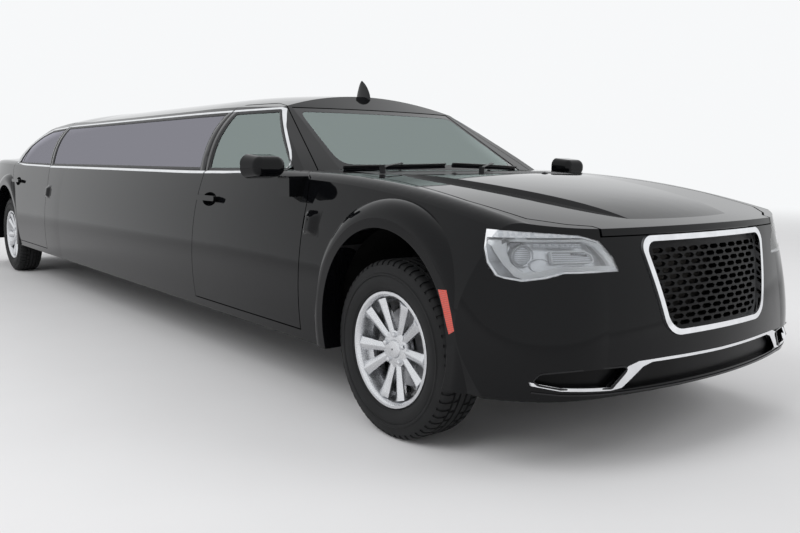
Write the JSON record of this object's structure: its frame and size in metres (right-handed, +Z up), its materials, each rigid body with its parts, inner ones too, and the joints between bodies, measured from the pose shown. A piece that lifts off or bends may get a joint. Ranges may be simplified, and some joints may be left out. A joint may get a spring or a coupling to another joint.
{
  "type": "stretch limousine",
  "caption": "Black stretch limousine with a long lounge behind the driver, hinged doors, hood and trunk lid, steered front wheels and turning wheels.",
  "frame": {"origin": "on the ground below the middle of the car's box", "axes": "+X to the nose, +Y to the car's left, +Z up"},
  "size_m": [8.1024, 2.23, 1.5522],
  "materials": {
    "body_paint": "gloss",
    "chrome": "polished",
    "black_plastic": "matte",
    "lamp_body": "gloss",
    "lamp_lens": "clear",
    "tail_lens": "gloss",
    "marker_lens": "gloss",
    "clear_glass": "clear",
    "dark_glass": "tinted",
    "underseal": "matte",
    "steel": "satin",
    "cast": "rough",
    "wheel_alloy": "satin",
    "tyre_rubber": "matte",
    "cabin_trim": "matte",
    "seat_leather": "satin",
    "cabinet": "gloss"
  },
  "bodies": {
    "body": {"underbody": "underseal", "wheel_housings": "underseal", "front_fenders": "body_paint", "cowl": "black_plastic", "front_bumper": "body_paint", "grille": "black_plastic", "grille_frame": "chrome", "bumper_trim": "chrome", "lower_grilles": "black_plastic", "side_markers": "marker_lens", "headlamps": "lamp_body", "headlamp_lenses": "lamp_lens", "windscreen": "clear_glass", "roof": "body_paint", "cabin_frame": "body_paint", "stretch_panels": "body_paint", "rear_quarters": "body_paint", "side_glass": "dark_glass", "rear_bumper": "body_paint", "tail_lamps": "tail_lens", "rear_window": "dark_glass", "hinge_pins": "steel", "front_suspension": "cast", "rear_axle": "cast", "prop_shaft": "steel", "exhaust": "steel", "fuel_tank": "underseal", "engine": "cast", "radiator": "cast", "dashboard": "cabin_trim", "front_seats": "seat_leather", "side_bench": "seat_leather", "rear_bench": "seat_leather", "bar_cabinet": "cabinet", "partition": "cabin_trim", "antenna_fin": "black_plastic"},
    "hood": {"hood": "body_paint"},
    "trunk_lid": {"trunk_lid": "body_paint"},
    "steering_wheel": {"steering_wheel": "cabin_trim"},
    "door_front_right": {"door_front_right": "body_paint", "glass_front_right": "clear_glass", "mirror_right": "body_paint"},
    "door_front_left": {"door_front_left": "body_paint", "glass_front_left": "clear_glass", "mirror_left": "body_paint"},
    "door_rear_right": {"door_rear_right": "body_paint", "glass_rear_right": "dark_glass"},
    "door_rear_left": {"door_rear_left": "body_paint", "glass_rear_left": "dark_glass"},
    "knuckle_left": {"knuckle_left": "cast"},
    "knuckle_right": {"knuckle_right": "cast"},
    "wheel_front_left": {"wheel_front_left": "wheel_alloy", "tyre_front_left": "tyre_rubber"},
    "wheel_rear_left": {"wheel_rear_left": "wheel_alloy", "tyre_rear_left": "tyre_rubber"},
    "wheel_front_right": {"wheel_front_right": "wheel_alloy", "tyre_front_right": "tyre_rubber"},
    "wheel_rear_right": {"wheel_rear_right": "wheel_alloy", "tyre_rear_right": "tyre_rubber"}
  },
  "joints": [
    {"name": "door_front_right_hinge", "type": "hinge", "parent": "body", "child": "door_front_right", "pos_m": [2.635, -0.929, 0.6], "axis": [0, 0, 1], "range_deg": [0, 65]},
    {"name": "door_front_left_hinge", "type": "hinge", "parent": "body", "child": "door_front_left", "pos_m": [2.635, 0.929, 0.6], "axis": [0, 0, -1], "range_deg": [0, 65]},
    {"name": "door_rear_right_hinge", "type": "hinge", "parent": "body", "child": "door_rear_right", "pos_m": [-1.477, -0.929, 0.6], "axis": [0, 0, 1], "range_deg": [0, 65]},
    {"name": "door_rear_left_hinge", "type": "hinge", "parent": "body", "child": "door_rear_left", "pos_m": [-1.477, 0.929, 0.6], "axis": [0, 0, -1], "range_deg": [0, 65]},
    {"name": "hood_hinge", "type": "hinge", "parent": "body", "child": "hood", "pos_m": [2.701, 0, 0.978], "axis": [0, -1, 0], "range_deg": [0, 45]},
    {"name": "trunk_hinge", "type": "hinge", "parent": "body", "child": "trunk_lid", "pos_m": [-3.409, 0, 1.032], "axis": [0, 1, 0], "range_deg": [0, 60]},
    {"name": "steer_left", "type": "hinge", "parent": "body", "child": "knuckle_left", "pos_m": [3.176, 0.69, 0.3555], "axis": [0, 0, 1], "range_deg": [-33, 33]},
    {"name": "steer_right", "type": "hinge", "parent": "body", "child": "knuckle_right", "pos_m": [3.176, -0.69, 0.3555], "axis": [0, 0, 1], "range_deg": [-33, 33]},
    {"name": "wheel_front_left_roll", "type": "hinge", "parent": "knuckle_left", "child": "wheel_front_left", "pos_m": [3.176, 0.805, 0.3555], "axis": [0, 1, 0], "continuous": true},
    {"name": "wheel_rear_left_roll", "type": "hinge", "parent": "body", "child": "wheel_rear_left", "pos_m": [-2.924, 0.805, 0.3555], "axis": [0, 1, 0], "continuous": true},
    {"name": "wheel_front_right_roll", "type": "hinge", "parent": "knuckle_right", "child": "wheel_front_right", "pos_m": [3.176, -0.805, 0.3555], "axis": [0, 1, 0], "continuous": true},
    {"name": "wheel_rear_right_roll", "type": "hinge", "parent": "body", "child": "wheel_rear_right", "pos_m": [-2.924, -0.805, 0.3555], "axis": [0, 1, 0], "continuous": true},
    {"name": "steering_wheel_turn", "type": "hinge", "parent": "body", "child": "steering_wheel", "pos_m": [2.166, 0.4, 0.86], "axis": [-0.9063, 0, 0.4226], "range_deg": [-512, 512]}
  ],
  "couplings": [
    {"joint": "steer_right", "follows": "steer_left", "ratio": 1},
    {"joint": "steering_wheel_turn", "follows": "steer_left", "ratio": 15.5}
  ]
}
